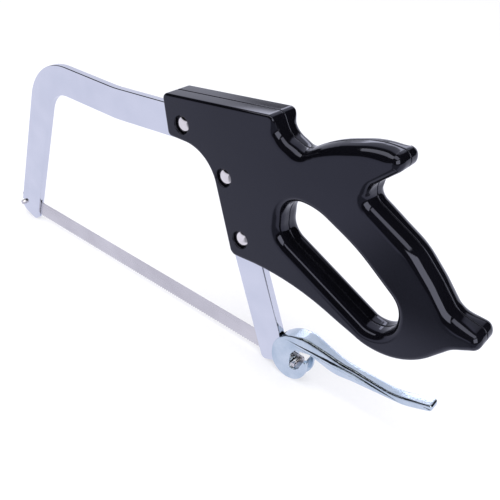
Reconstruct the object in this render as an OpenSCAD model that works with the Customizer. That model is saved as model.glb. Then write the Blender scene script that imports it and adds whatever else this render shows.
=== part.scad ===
// Butcher saw: a bent flat-bar frame, a moulded two-part handle, a toothed blade on two cross pins,
// and a forked cam lever that pulls the blade tight. Millimetres. The nose points to -X, the handle to +X.
// Lengths along the saw are measured from the front blade pin, heights from the floor.

/* [Blade] */
// Distance between the two blade pins
blade_pin_span = 343.5; // [320:0.5:370]
// Height of the blade from its back to the tips of its teeth
blade_h = 16; // [14:0.5:18]
// Thickness of the blade
blade_t = 0.7; // [0.5:0.05:0.9]
// Length of blade behind each pin centre
blade_end = 6.5; // [5.5:0.5:7.5]
// Distance from one tooth tip to the next
tooth_pitch = 2.5; // [2:0.1:4]
// Depth of a tooth
tooth_depth = 1.4; // [1:0.1:2]
// Height of the pin centres above the floor
pin_z = 13.5; // [12.5:0.5:16]
// Diameter of a blade pin
pin_d = 4.6; // [4:0.1:5.2]
// Length of the front pin across the frame
front_pin_length = 12.6; // [10:0.2:18]
// Length of the rear pin across the lever
rear_pin_length = 12; // [11:0.5:13.5]

/* [Frame bar] */
// Width of the flat bar
bar_w = 25.4; // [24:0.2:28]
// Thickness of the flat bar
bar_t = 6.4; // [5:0.2:7]
// Height of the spine's middle line above the floor
spine_z = 163.4; // [150:1:175]
// Place along the saw where the spine starts to rise
spine_kink_x = 150.5; // [130:1:165]
// Rise of the rear half of the spine, in degrees
spine_rise = 5.2; // [3:0.1:7]
// Lean of the front arm from upright, in degrees
front_lean = 18.2; // [14:0.2:21]
// Lean of the rear arm from upright, in degrees
rear_lean = 22; // [19:0.5:24]
// Middle radius of the nose bend
nose_bend_r = 42.3; // [34:0.5:50]
// Middle radius of the slight bend in the spine
kink_bend_r = 100; // [60:5:160]
// Middle radius of the bend inside the handle
rear_bend_r = 30; // [26:1:34]
// Depth of the front pin's middle inside the arm's front edge
front_pin_inset = 4.2; // [3.6:0.1:5]
// Width of the sawn slots that the blade passes through
blade_slot = 1.4; // [1.2:0.1:1.8]
// Height of the slots above the blade's back
slot_rise = 3; // [2:0.5:5]
// Corner radius at the front of the front arm's end
front_toe_r = 9; // [7:0.5:10]
// Corner radius at the back of the front arm's end
front_heel_r = 5; // [3:0.5:6]
// Corner radius at the end of the rear arm
rear_end_r = 4; // [3:0.5:5]
// Height of the rear arm's end above the floor
rear_end_gap = 0.6; // [0.4:0.1:1.5]

/* [Handle] */
// Thickness of the handle across its two halves
handle_t = 26; // [24:0.5:32]
// Wall of the hollow grip
wall = 4; // [3:0.25:5]
// Roll of the edge round the finger opening
opening_roll = 6; // [3:0.25:7]
// Clearance round the bar in the handle's channel
channel_gap = 0.15; // [0.1:0.05:0.3]
// Diameter of the locating pegs
peg_d = 6; // [5:0.5:7]
// Length of the locating pegs
peg_length = 5; // [4:0.5:6]
// Clearance of a peg in its socket
peg_gap = 0.1; // [0.05:0.05:0.2]

/* [Rivets] */
// Outer diameter of a rivet's tube
tube_d = 6; // [5:0.1:6.4]
// Diameter of the rivet pin pressed into the tube
rivet_pin_d = 3.6; // [3:0.1:4]
// Diameter of a rivet head
head_d = 11.6; // [10:0.2:12.4]
// Height of a rivet head's dome
head_h = 2.3; // [1.6:0.1:2.8]
// Thickness of a rivet head's flat rim
head_rim = 0.6; // [0.4:0.1:1]
// Diameter of the recess round a rivet head
recess_d = 13.6; // [13:0.2:15]
// Depth of the recess below the handle's side
recess_depth = 2.6; // [2:0.1:3.2]
// Clearance of the tube in its hole
tube_gap = 0.1; // [0.05:0.05:0.2]
// Offsets of the top, middle and bottom rivets from the bar's middle line, towards its outer edge
rivet_offsets = [3.9, 6.6, 7];

/* [Lever] */
// Width of the lever's forked head
head_w = 14; // [13.4:0.2:15]
// Width of the lever where its head narrows into the arm
shoulder_w = 10.4; // [9.4:0.2:11.4]
// Width of the lever's arm at its waist
waist_w = 7.4; // [6.4:0.2:9]
// Width of the lever's thumb tip
tip_w = 9.6; // [8:0.2:11]
// Radius of the lever's round head
head_r = 15.8; // [15:0.2:16]
// Clearance between the fork and the arm that it straddles
fork_gap = 0.3; // [0.25:0.05:0.5]
// Distance from the rear pin to the rear arm's edge with the lever closed
cam_reach = 7.9; // [7.6:0.1:8.6]
// Clearance between the cam and the arm's edge
cam_gap = 0.3; // [0.25:0.05:0.5]
// Blade travel that the cam takes up
take_up = 3; // [2:0.25:3.5]
// Swing of the lever from closed to open, in degrees
lever_swing = 110; // [90:5:115]
// Clearance of the rear pin in the lever's hook
hook_gap = 0.08; // [0.05:0.01:0.1]

/* [Hidden] */
$fn = 64;
// Largest turn between two points of a rounded outline: coarse on the handle, fine elsewhere
handle_step = 12;
fine_step = 6;
over = 1;

// Directions in the plane of the saw: along each arm, upward, and across it, towards the handle
front_up = [sin(front_lean), cos(front_lean)];
front_back = [cos(front_lean), -sin(front_lean)];
rear_up = [-sin(rear_lean), cos(rear_lean)];
rear_back = [cos(rear_lean), sin(rear_lean)];
spine_along = [cos(spine_rise), sin(spine_rise)];

// Pins, and the corners where the bar's straight middle lines meet
front_pin = [0, pin_z];
rear_pin = [blade_pin_span, pin_z];
front_foot = front_pin + front_back * (bar_w / 2 - front_pin_inset);
rear_foot = rear_pin - rear_back * (cam_reach + bar_w / 2);
nose = front_foot + front_up * (spine_z - front_foot[1]) / front_up[1];
kink = [spine_kink_x, spine_z];
crown = kink + spine_along * cross2(rear_foot - kink, rear_up) / cross2(spine_along, rear_up);

// Lengths of the two arms from the bend corners to their ends, so that both ends reach their height
front_reach = (nose[1] - front_heel_r - (bar_w / 2 - front_heel_r) * sin(front_lean))
    / cos(front_lean) + front_heel_r;
rear_reach = (crown[1] - rear_end_gap - rear_end_r - (bar_w / 2 - rear_end_r) * sin(rear_lean))
    / cos(rear_lean) + rear_end_r;
blade_back_z = pin_z + blade_h / 2;
blade_edge_z = pin_z - blade_h / 2;

// The handle's outline: corners as [x, z, corner radius, roll of the edge there]. The corners are set
// from the bar's crown, so that the handle stays on the bar when the frame changes.
handle_corners = [for (c = [
    [-43.3, 19.7, 4, 2.2], [53.7, 32.5, 5, 2.2], [61.2, 18.9, 14, 6.5], [76.2, 13.9, 9, 7.5],
    [92.5, 25.8, 90, 8], [125, 36.8, 60, 7], [147.2, 35.4, 6, 4.5], [143.2, 26, 5, 2.6],
    [126.2, 10.4, 8, 4], [127.7, -0.1, 9, 7], [163.2, -18.6, 60, 8], [180.2, -35.1, 60, 8],
    [193.2, -50.1, 14, 8], [213.6, -54.4, 6.5, 5.5], [213.4, -63.2, 4.5, 3.5], [199, -70.3, 20, 4],
    [172.8, -101, 48, 4], [142.5, -101, 40, 4], [84, -80.5, 180, 3], [26.7, -83.1, 6, 2.2],
    [1.8, -10.1, 31, 2.2], [-37.3, -10.6, 4, 2.2]
]) [crown[0] + c[0], crown[1] + c[1], c[2], c[3]]];
// The finger opening, in the same form
opening_corners = [for (c = [
    [66.3, -19.8, 17], [93, -19.4, 40], [125, -34.2, 120], [160.3, -60, 18],
    [160.3, -88.3, 16.5], [140.5, -88.3, 10], [66.3, -52, 14]
]) [crown[0] + c[0], crown[1] + c[1], c[2], opening_roll]];
handle_ring = rounded(handle_corners, handle_step);
opening_ring = rounded(opening_corners, handle_step);

// Rivet centres, each on a line across the bar: at the start of the crown's bend, and down the rear arm
top_rivet = crown - spine_along * 23.5 + [-spine_along[1], spine_along[0]] * rivet_offsets[0];
middle_rivet = crown - rear_up * 29 + rear_back * rivet_offsets[1];
bottom_rivet = crown - rear_up * 75.5 + rear_back * rivet_offsets[2];
rivet_places = [top_rivet, middle_rivet, bottom_rivet];
// Locating pegs between the halves: one in the horn's root, one behind the finger opening, one below it
peg_places = [crown + [100, 6], crown + [168, -42], crown + [110, -81.2]];

// Cam: its distance from the rear pin falls evenly with the swing, at the rate at which the blade slides
cam_rate = take_up * cos(rear_lean) / lever_swing;
cam_slope = cam_rate * 180 / PI;
cam_start = 180 + rear_lean;
function cam_height(swing) = cam_reach - cam_gap - cam_rate * swing;
// A point of the curve whose tangent stands cam_height from the pin, square to the turned direction
function cam_point(swing) =
    let (a = cam_start + swing)
    rear_pin + cam_height(swing) * [cos(a), sin(a)] - cam_slope * [-sin(a), cos(a)];

// The middle of the whole saw along X
front_toe = nose - front_up * (front_reach - front_toe_r) - front_back * (bar_w / 2 - front_toe_r);
toe_rise = max(0, front_toe[1] - (pin_z - pin_d / 2 - hook_gap));
toe_front = front_toe[0] - sqrt(front_toe_r * front_toe_r - toe_rise * toe_rise);
saw_front = min(toe_front, front_pin[0] - blade_end);
saw_back = max([for (p = handle_ring) p[0]]);
middle_x = (saw_front + saw_back) / 2;

function cross2(a, b) = a[0] * b[1] - a[1] * b[0];
function unit(v) = v / norm(v);
function flat(c) = [c[0], c[1]];

// A closed outline with each corner rounded to its radius, as points [x, z, outward x, outward z, roll,
// number of the corner].
// The corners run clockwise; the arc's middle lies on the corner's bisector.
function rounded(corners, step) = [
    for (i = [0 : len(corners) - 1])
        let (
            here = flat(corners[i]),
            u = unit(flat(at(corners, i - 1)) - here),
            v = unit(flat(at(corners, i + 1)) - here),
            turn = 180 - acos(u * v),
            side = cross2(u, v) > 0 ? 1 : -1,
            radius = corners[i][2],
            centre = here + unit(u + v) * radius / cos(turn / 2),
            start = unit(here + u * radius * tan(turn / 2) - centre),
            steps = max(2, ceil(turn / step)),
            roll = corners[i][3]
        )
        for (k = [0 : steps])
            let (
                w = -side * turn * k / steps,
                out = [start[0] * cos(w) - start[1] * sin(w), start[0] * sin(w) + start[1] * cos(w)],
                p = centre + radius * out
            )
            [p[0], p[1], side * out[0], side * out[1], roll, i]
];
function outline(corners) = [for (p = rounded(corners, fine_step)) flat(p)];

// Points of a wall that rises from the seam and rolls over to the flat side, row after row. sense is 1
// where the roll draws the outline in, and -1 where it opens a hole out.
roll_steps = 4;
rows = roll_steps + 2;
function rolled_wall(ring, sense) = concat(
    [for (p = ring) [p[0], 0, p[1]]],
    [for (k = [0 : roll_steps]) for (p = ring)
        let (a = 90 * k / roll_steps, inset = sense * p[4] * (1 - cos(a)))
        [p[0] - p[2] * inset, handle_t / 2 - p[4] * (1 - sin(a)), p[1] - p[3] * inset]]
);
function wall_faces(n, first) = [
    for (r = [0 : rows - 2]) for (i = [0 : n - 1])
        let (a = first + r * n + i, b = first + r * n + (i + 1) % n)
        each [[a, b + n, b], [a, a + n, b + n]]
];
function backwards(list) = [for (i = [len(list) - 1 : -1 : 0]) list[i]];
function walk(from, to, n) = [for (k = [0 : (to - from + n) % n]) (from + k) % n];
function first_of(ring, corner) = [for (i = [0 : len(ring) - 1]) if (ring[i][5] == corner) i][0];

// Cuts a flat face, given as point numbers in clockwise order, into triangles. An ear is a corner that
// points outward and whose triangle holds no other point of the face. Each ear found is cut off in turn.
function side_of(a, b, p) = cross2(b - a, p - a);
function in_ear(p, a, b, c) = side_of(a, b, p) < 0 && side_of(b, c, p) < 0 && side_of(c, a, p) < 0;
function is_ear(points, face, i) =
    let (a = points[at(face, i - 1)], b = points[face[i]], c = points[at(face, i + 1)])
    side_of(a, b, c) < 0 && len([for (j = face) if (in_ear(points[j], a, b, c)) j]) == 0;
function find_ear(points, face, i) =
    i == len(face) - 1 || is_ear(points, face, i) ? i : find_ear(points, face, i + 1);
function at(list, i) = list[(i + len(list)) % len(list)];
function triangles(points, face) =
    len(face) == 3 ? [face] :
    let (i = find_ear(points, face, 0))
    concat(
        [[at(face, i - 1), face[i], at(face, i + 1)]],
        triangles(points, [for (k = [0 : len(face) - 1]) if (k != i) face[k]])
    );

// The flat face of one row between outline and opening. It is cut along two lines, from the inside of the
// bar's bend to the opening and from the opening to the tail, so that neither piece has a hole in it.
function flat_face(points, row) =
    let (
        n = len(handle_ring),
        m = len(opening_ring),
        a = row * n,
        b = rows * n + row * m,
        a0 = first_of(handle_ring, 20),
        a1 = first_of(handle_ring, 15),
        b0 = first_of(opening_ring, 0),
        b1 = first_of(opening_ring, 4),
        flat_points = [for (p = points) [p[0], p[2]]],
        upper = concat([for (i = walk(a0, a1, n)) a + i], backwards([for (i = walk(b0, b1, m)) b + i])),
        lower = concat([for (i = walk(a1, a0, n)) a + i], backwards([for (i = walk(b1, b0, m)) b + i]))
    )
    concat(triangles(flat_points, upper), triangles(flat_points, lower));
// The outer form of one half, from the seam at y = 0 to its side at y = handle_t / 2
module grip_form() {
    n = len(handle_ring);
    points = concat(rolled_wall(handle_ring, 1), rolled_wall(opening_ring, -1));
    polyhedron(points, concat(
        wall_faces(n, 0),
        [for (f = wall_faces(len(opening_ring), rows * n)) backwards(f)],
        flat_face(points, 0),
        [for (f = flat_face(points, rows - 1)) backwards(f)]
    ));
}

// Turns a flat shape drawn in x and z into a plate across the saw, centred on its middle plane
module plate(thickness) {
    rotate([90, 0, 0]) linear_extrude(thickness, center = true) children();
}
module across(place, length, diameter, from = undef) {
    start = is_undef(from) ? -length / 2 : from;
    translate([place[0], start, place[1]]) rotate([-90, 0, 0]) cylinder(d = diameter, h = length);
}
module placed(tint) {
    color(tint) translate([-middle_x, 0, 0]) children();
}

// The bar's middle line turns at three corners. A mitre is the step from such a corner towards the inside
// of its bend, for each millimetre of the bar's half width.
front_end = nose - front_up * front_reach;
rear_end = crown - rear_up * rear_reach;
function mitre(before, corner, after) =
    let (u = unit(before - corner), v = unit(after - corner))
    unit(u + v) / cos((180 - acos(u * v)) / 2);
nose_mitre = mitre(front_end, nose, kink);
kink_mitre = mitre(nose, kink, crown);
crown_mitre = mitre(kink, crown, rear_end);
function corner(p, radius) = [p[0], p[1], radius, 0];
// The whole bent bar, drawn clockwise from the front arm's toe: up, along the top of the spine, down the
// rear arm, and back along the inside
module bar_blank(width, thickness) {
    half = width / 2;
    plate(thickness) polygon(outline([
        corner(front_end - front_back * half, front_toe_r),
        corner(nose - nose_mitre * half, nose_bend_r + half),
        corner(kink + kink_mitre * half, kink_bend_r - half),
        corner(crown - crown_mitre * half, rear_bend_r + half),
        corner(rear_end + rear_back * half, rear_end_r),
        corner(rear_end - rear_back * half, rear_end_r),
        corner(crown + crown_mitre * half, rear_bend_r - half),
        corner(kink - kink_mitre * half, kink_bend_r + half),
        corner(nose + nose_mitre * half, nose_bend_r - half),
        corner(front_end + front_back * half, front_heel_r)
    ]));
}

module frame_bar() {
    slot_top = blade_back_z + slot_rise;
    placed("lightsteelblue") difference() {
        bar_blank(bar_w, bar_t);
        translate([front_end[0] - bar_w, -blade_slot / 2, -over])
            cube([2 * bar_w, blade_slot, slot_top + over]);
        translate([rear_end[0] - bar_w, -blade_slot / 2, -over])
            cube([2 * bar_w, blade_slot, slot_top + over]);
        across(front_pin, bar_t + 2 * over, pin_d + 2 * hook_gap);
        translate([-2 * pin_d, -bar_t, pin_z - pin_d / 2 - hook_gap])
            cube([2 * pin_d, 2 * bar_t, pin_d + 2 * hook_gap]);
        for (p = rivet_places) across(p, bar_t + 2 * over, tube_d + 2 * tube_gap);
    }
}

// The room inside the grip, kept clear of the bar and of the finger opening
module grip_hollow() {
    front_limit = crown - rear_up * 40 + rear_back * (bar_w / 2 + 2 * wall);
    intersection() {
        difference() {
            offset(delta = -wall - 1) polygon([for (p = handle_ring) flat(p)]);
            offset(delta = wall + 1) polygon([for (p = opening_ring) flat(p)]);
            for (p = peg_places) translate(p) circle(d = peg_d + 2 * wall);
        }
        polygon([
            front_limit - rear_up * 200, front_limit + rear_up * 80,
            front_limit + rear_up * 80 + rear_back * 300, front_limit - rear_up * 200 + rear_back * 300
        ]);
    }
}
// One half: side is 1 for the half on +Y, and -1 for its mirror image
module handle_half(side) {
    half = handle_t / 2;
    difference() {
        mirror([0, side > 0 ? 0 : 1, 0]) difference() {
            grip_form();
            translate([0, -over, 0]) rotate([90, 0, 0]) mirror([0, 0, 1])
                linear_extrude(half - wall + over) grip_hollow();
        }
        bar_blank(bar_w + 2 * channel_gap, bar_t + 2 * channel_gap);
        for (p = rivet_places) {
            across(p, 2 * handle_t, tube_d + 2 * tube_gap);
            across(p, recess_depth + over, recess_d, side > 0 ? half - recess_depth : -half - over);
        }
    }
}
module handle_left() {
    placed([0.13, 0.13, 0.15]) {
        handle_half(-1);
        for (p = peg_places) across(p, peg_length + over, peg_d, -over);
    }
}
module handle_right() {
    placed([0.15, 0.15, 0.17]) difference() {
        handle_half(1);
        for (p = peg_places) across(p, peg_length + 2 * over, peg_d + 2 * peg_gap, -over);
    }
}

// A low dome on a flat rim, standing up from its seat at z = 0
module dome() {
    rise = head_h - head_rim;
    ball = (head_d * head_d / 4 + rise * rise) / (2 * rise);
    cylinder(d = head_d, h = head_rim);
    translate([0, 0, head_rim]) intersection() {
        translate([0, 0, rise - ball]) sphere(r = ball);
        cylinder(d = head_d, h = rise);
    }
}
// Tube half of a rivet, headed on the left side of the saw
module rivet_tube(place) {
    seat = handle_t / 2 - recess_depth;
    placed("gainsboro") translate([place[0], 0, place[1]]) difference() {
        union() {
            translate([0, -seat, 0]) rotate([90, 0, 0]) dome();
            translate([0, -seat, 0]) rotate([-90, 0, 0]) cylinder(d = tube_d, h = 2 * seat);
        }
        translate([0, -seat, 0]) rotate([-90, 0, 0]) cylinder(d = rivet_pin_d, h = 2 * seat + over);
    }
}
// Pin half of a rivet, headed on the right side and pressed into the tube
module rivet_pin(place) {
    seat = handle_t / 2 - recess_depth;
    placed("gainsboro") translate([place[0], 0, place[1]]) {
        translate([0, seat, 0]) rotate([-90, 0, 0]) dome();
        translate([0, -seat / 2, 0]) rotate([-90, 0, 0])
            cylinder(d = rivet_pin_d, h = 1.5 * seat + over / 4);
    }
}

// A blade with straight back, round-cornered ends and a row of teeth that lean to the nose
module blade() {
    length = blade_pin_span + 2 * blade_end;
    teeth = floor((length - 10) / tooth_pitch);
    first = -blade_end + (length - teeth * tooth_pitch) / 2;
    gullet = blade_edge_z + tooth_depth;
    placed("silver") difference() {
        plate(blade_t) polygon(concat(
            [[-blade_end, gullet + 1], [-blade_end, blade_back_z - 2], [-blade_end + 2, blade_back_z]],
            [[length - blade_end - 2, blade_back_z], [length - blade_end, blade_back_z - 2],
                [length - blade_end, gullet + 1]],
            [for (i = [teeth - 1 : -1 : 0]) each [
                [first + (i + 1) * tooth_pitch, gullet],
                [first + (i + 0.25) * tooth_pitch, blade_edge_z]
            ]],
            [[first, gullet]]
        ));
        across(front_pin, 2 * bar_t, pin_d + 2 * hook_gap);
        across(rear_pin, 2 * bar_t, pin_d + 2 * hook_gap);
    }
}
module blade_pin(place, length) {
    placed("darkgray") across(place, length, pin_d);
}

// The lever seen from the side. Its hook is open to the back, and the rear pin lies in the hook's corner.
module lever_side() {
    p = rear_pin;
    hook_r = pin_d / 2 + hook_gap;
    left = p[0] + 12.2 - 2 * head_r;
    polygon(outline([
        [left, 0, head_r], [left, 27.5, 18], [p[0] - 6, 40, 24], [p[0] + 9, 44.4, 16],
        [p[0] + 39.5, 38.4, 60], [p[0] + 81.5, 38.1, 50], [p[0] + 109, 47.5, 1.8], [p[0] + 109, 42.6, 1.8],
        [p[0] + 90.5, 34.7, 40], [p[0] + 34.5, 26, 35], [p[0] + 13.5, pin_z + 19, 6],
        [p[0] + 2, pin_z + 16.5, 5], [p[0] - 0.6 * hook_r, pin_z + 10, 8],
        [p[0] - 0.6 * hook_r, pin_z - 0.6 * hook_r, 0.6], [p[0] + 5, pin_z - 0.6 * hook_r, 5],
        [p[0] + 9.6, pin_z + 9.6, 0.8], [p[0] + 12.2, pin_z + 9.2, 1], [p[0] + 12.2, 0, head_r]
    ]));
}
// The lever seen from above
module lever_plan() {
    p = rear_pin[0];
    polygon(outline([
        [p - 25, head_w / 2, 2], [p + 8, head_w / 2, 12], [p + 24, shoulder_w / 2, 40],
        [p + 48, waist_w / 2, 60], [p + 100, tip_w / 2, 20], [p + 110, tip_w / 2, 3],
        [p + 110, -tip_w / 2, 3], [p + 100, -tip_w / 2, 20], [p + 48, -waist_w / 2, 60],
        [p + 24, -shoulder_w / 2, 40], [p + 8, -head_w / 2, 12], [p - 25, -head_w / 2, 2]
    ]));
}
// The part of the lever that stays between its cheeks: the cam round the pin, and the root of the arm
module lever_web() {
    cam = [for (s = [-6 : 3 : lever_swing + 6]) cam_point(s)];
    top = cam[0] + rear_up * 4;
    polygon(concat(
        [[rear_pin[0] - 3, 60], [rear_pin[0] - 3, pin_z + 25], top],
        cam,
        [cam[len(cam) - 1] + [6, 6], [rear_pin[0] + 40, pin_z + 5], [rear_pin[0] + 40, 60]]
    ));
}
module tension_lever() {
    sweep = norm([blade_end, blade_h / 2]) + 1;
    placed("lightgray") difference() {
        intersection() {
            plate(head_w) lever_side();
            linear_extrude(60) lever_plan();
        }
        plate(bar_t + 2 * fork_gap) difference() {
            translate([rear_pin[0] - 40, -over]) square([60, 70]);
            lever_web();
        }
        plate(blade_slot) translate(rear_pin) circle(sweep);
        across(rear_pin, head_w + 2 * over, pin_d + 2 * hook_gap);
    }
}

frame_bar();
handle_left();
handle_right();
rivet_tube(top_rivet);  // rivet_tube_top
rivet_tube(middle_rivet);  // rivet_tube_middle
rivet_tube(bottom_rivet);  // rivet_tube_bottom
rivet_pin(top_rivet);  // rivet_pin_top
rivet_pin(middle_rivet);  // rivet_pin_middle
rivet_pin(bottom_rivet);  // rivet_pin_bottom
blade();
blade_pin(front_pin, front_pin_length);  // blade_pin_front
blade_pin(rear_pin, rear_pin_length);  // blade_pin_rear
tension_lever();
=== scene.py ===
# %% [markdown]
# # A butcher saw, seen close from above
# The saw is a bent flat bar with a thin blade strained between its ends, a black moulded grip riveted over
# one corner, and a forked lever that pulls the blade tight. The CAD model gives every piece its size, place
# and joint. This script makes the surfaces that the eye sees: finer bends, rolled edges, teeth, domed rivets
# and real finishes. Almost every piece here is a flat outline with a thickness, so one small set of
# functions rounds outlines, rolls their edges over and closes them.

# %% Load the frame
import math
import bpy
import numpy as np
from mathutils import Euler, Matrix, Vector
from mathutils.geometry import tessellate_polygon


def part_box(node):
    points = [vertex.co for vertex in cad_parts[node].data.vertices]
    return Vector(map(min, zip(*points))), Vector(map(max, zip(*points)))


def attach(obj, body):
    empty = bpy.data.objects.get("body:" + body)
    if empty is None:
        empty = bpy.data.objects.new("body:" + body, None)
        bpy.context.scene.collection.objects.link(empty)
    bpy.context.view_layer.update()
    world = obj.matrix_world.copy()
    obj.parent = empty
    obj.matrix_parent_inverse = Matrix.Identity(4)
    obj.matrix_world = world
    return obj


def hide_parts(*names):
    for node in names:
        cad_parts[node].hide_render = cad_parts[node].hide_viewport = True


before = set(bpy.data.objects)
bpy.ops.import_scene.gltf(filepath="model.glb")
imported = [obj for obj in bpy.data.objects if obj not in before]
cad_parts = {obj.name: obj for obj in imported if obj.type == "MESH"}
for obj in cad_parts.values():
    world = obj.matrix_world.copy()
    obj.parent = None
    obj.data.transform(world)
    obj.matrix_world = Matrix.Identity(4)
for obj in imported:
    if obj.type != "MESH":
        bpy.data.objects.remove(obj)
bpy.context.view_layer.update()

# %% [markdown]
# ## The measuring frame
# Shapes below are in millimetres: x along the saw from the front blade pin, z up from the floor, y across.
# Outlines are drawn in x and z. Two pins carry the blade, so their CAD boxes tell where that frame sits in
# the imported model. They could be typed in again, but then a change in the CAD would leave the looks behind.

# %% Where the pins are
# METRE is the number of millimetres in a metre.
METRE = 1000
front_low, front_high = (np.array(corner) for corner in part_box("blade_pin_front"))
rear_low, rear_high = (np.array(corner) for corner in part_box("blade_pin_rear"))
ORIGIN_X = float(front_low[0] + front_high[0]) / 2
PIN_Z = float(front_low[2] + front_high[2]) / 2 * METRE
PIN_SPAN = (float(rear_low[0] + rear_high[0]) / 2 - ORIGIN_X) * METRE
PIN_R = float(front_high[2] - front_low[2]) / 2 * METRE
FRONT_PIN = np.array([0, PIN_Z])
REAR_PIN = np.array([PIN_SPAN, PIN_Z])
print("pins", round(PIN_SPAN, 2), "mm apart at height", round(PIN_Z, 2), "radius", round(PIN_R, 2))


# %% From millimetres to the model's metres
def metres(points):
    """Points (..., 3) in millimetres from the front pin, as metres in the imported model's frame."""
    p = np.asarray(points, float) / METRE
    p[..., 0] += ORIGIN_X
    return p


print("rear pin, metres:", metres([[PIN_SPAN, 0, PIN_Z]])[0].round(5).tolist())

# %% [markdown]
# ## Rounding an outline
# A drawn outline is a ring of corners, clockwise. A Bevel modifier could round them, but here each has its
# own radius, and the rolled edges later need the outward direction at every point. So each corner of radius
# r is replaced by an arc that touches both edges: with half the turn h, the arc starts r·tan h before the
# corner, and its middle lies r / cos h along the bisector.


# %% One corner into an arc
def corner_arc(here, before, after, radius, roll, step):
    """Points, outward normals and rolls of one corner's arc: middle + radius (cos t, sin t), with t in steps
    of at most `step` degrees. before and after are directions to the next corners. A corner of radius 0
    stays one point.
    """
    turn = math.pi - math.acos(max(-1, min(1, before @ after)))
    convex = np.sign(before[0] * after[1] - before[1] * after[0])
    bisector = (before + after) / np.linalg.norm(before + after)
    if radius == 0:
        return here[None], -bisector[None] * convex / math.cos(turn / 2), np.array([roll])
    middle = here + bisector * radius / math.cos(turn / 2)
    steps = max(2, math.ceil(math.degrees(turn) / step))
    w = -convex * turn * np.arange(steps + 1) / steps
    out = here + before * radius * math.tan(turn / 2) - middle
    out /= np.linalg.norm(out)
    turned_x, turned_z = out[0] * np.cos(w) - out[1] * np.sin(w), out[0] * np.sin(w) + out[1] * np.cos(w)
    ray = np.stack([turned_x, turned_z], 1)
    return middle + radius * ray, convex * ray, np.full(steps + 1, roll)


# %% A whole outline
def rounded(corners, step, spacing):
    """Closed outline from rows (x, z, radius, roll). Returns its points, outward normals and rolls.

    Straight edges are divided every `spacing` mm: point = p (1 − f) + q f, with f from 0 to 1. The roll is
    how far the edge rounds over, and it eases from one end of an edge to the other by f²(3 − 2f).
    """
    c = np.array(corners, float)
    here = c[:, :2]
    before, after = np.roll(here, 1, 0) - here, np.roll(here, -1, 0) - here
    before /= np.linalg.norm(before, axis=1, keepdims=True)
    after /= np.linalg.norm(after, axis=1, keepdims=True)
    arcs = [corner_arc(here[i], before[i], after[i], c[i, 2], c[i, 3], step) for i in range(len(c))]
    p, n, r = (np.concatenate(part) for part in zip(*arcs))
    length = np.linalg.norm(np.roll(p, -1, 0) - p, axis=1)
    cuts = np.maximum(1, np.ceil(length / spacing)).astype(int)
    which = np.repeat(np.arange(len(p)), cuts)
    following = (which + 1) % len(p)
    f = (np.arange(cuts.sum()) - np.repeat(np.cumsum(cuts) - cuts, cuts)) / cuts[which]
    ease = f * f * (3 - 2 * f)
    f = f[:, None]
    points = p[which] * (1 - f) + p[following] * f
    normals = n[which] * (1 - f) + n[following] * f
    return points, normals, r[which] * (1 - ease) + r[following] * ease


def circle(centre, radius, count=48):
    """A clockwise circle in the form that rounded() returns: centre + radius (cos t, −sin t)."""
    t = -2 * np.pi * np.arange(count) / count
    ray = np.stack([np.cos(t), np.sin(t)], 1)
    return np.asarray(centre) + radius * ray, ray, np.zeros(count)


square = rounded([(-10, -10, 4, 1), (-10, 10, 4, 1), (10, 10, 4, 2), (10, -10, 4, 2)], 10, 5)
print("a rounded square of 20 mm:", len(square[0]), "points, rolls", square[2].min(), "to", square[2].max())

# %% [markdown]
# ### Rolls that blend
# Where a sharp plate edge meets a soft grip edge, the roll has to change gently, or the highlight on it
# breaks. It could be typed in for every point. Instead each point takes the mean of its neighbours, weighted
# by a bell curve of the way along the outline.


# %% Blending the rolls
def blended_rolls(outline, reach):
    """The same outline with its rolls blended by weights exp(−(d / reach)²), where d is the way along the
    outline in mm. On a convex bend the roll stays 0.4 mm under the bend's radius, so that rings never cross.
    """
    p, n, r = outline
    step = np.linalg.norm(np.roll(p, -1, 0) - p, axis=1)
    s, total = np.cumsum(step) - step, step.sum()
    d = np.abs(s[:, None] - s)
    w = np.exp(-(np.minimum(d, total - d) / reach) ** 2) * step
    blended = (w @ r) / w.sum(1)
    turn = np.roll(n, -1, 0) - np.roll(n, 1, 0)
    way = np.roll(p, -1, 0) - np.roll(p, 1, 0)
    bend = (turn * way).sum(1) / (way * way).sum(1)
    clearance, hardly_bent, no_limit, least = 0.4, 0.01, 99, 0.3
    limit = np.where(bend > hardly_bent, 1 / np.maximum(bend, hardly_bent) - clearance, no_limit)
    return p, n, np.minimum(blended, np.maximum(limit, least))


blended_square = blended_rolls(square, 3)
print("its rolls after blending:", blended_square[2].min().round(2), "to", blended_square[2].max().round(2))

# %% [markdown]
# ## From outlines to solids
# A plate is a stack of rings. Each ring is the outline, drawn in by some inset, at some y, and quads join
# one ring to the next. An extruded curve with a bevel would be quicker to set up, but its bevel has one
# radius for the whole outline. One extra ring just inside each flat face keeps the smooth shading of the
# rolled edge from bleeding over the face.


# %% Rings
def ring(outline, inset, y):
    """The outline drawn in along its normals: p − n · inset, at y. Each may be one value or one a point."""
    p, n, _ = outline
    flat = p - n * np.broadcast_to(inset, len(p))[:, None]
    return np.stack([flat[:, 0], np.broadcast_to(y, len(p)), flat[:, 1]], 1)


def edge_rows(outline, start, side, sense=1, steps=8, support=0.4, depth=1.0):
    """Rings from y = start to the flat side at y = side. The edge rolls over by a quarter ellipse:
    y = side − depth r (1 − sin a), inset = r (1 − cos a), a from 0 to 90 degrees. With sense −1 the roll
    opens a hole outwards instead.
    """
    r = outline[2]
    way = 1 if np.mean(side) > np.mean(start) else -1
    rows = [ring(outline, 0, start)]
    for a in np.linspace(0, np.pi / 2, steps + 1):
        rows.append(ring(outline, sense * r * (1 - math.cos(a)), side - way * depth * r * (1 - math.sin(a))))
    rows.append(ring(outline, sense * (r + support), side))
    return rows


print("the square's edge, 3 mm high:", len(edge_rows(blended_square, 0, 3)), "rings")


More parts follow.
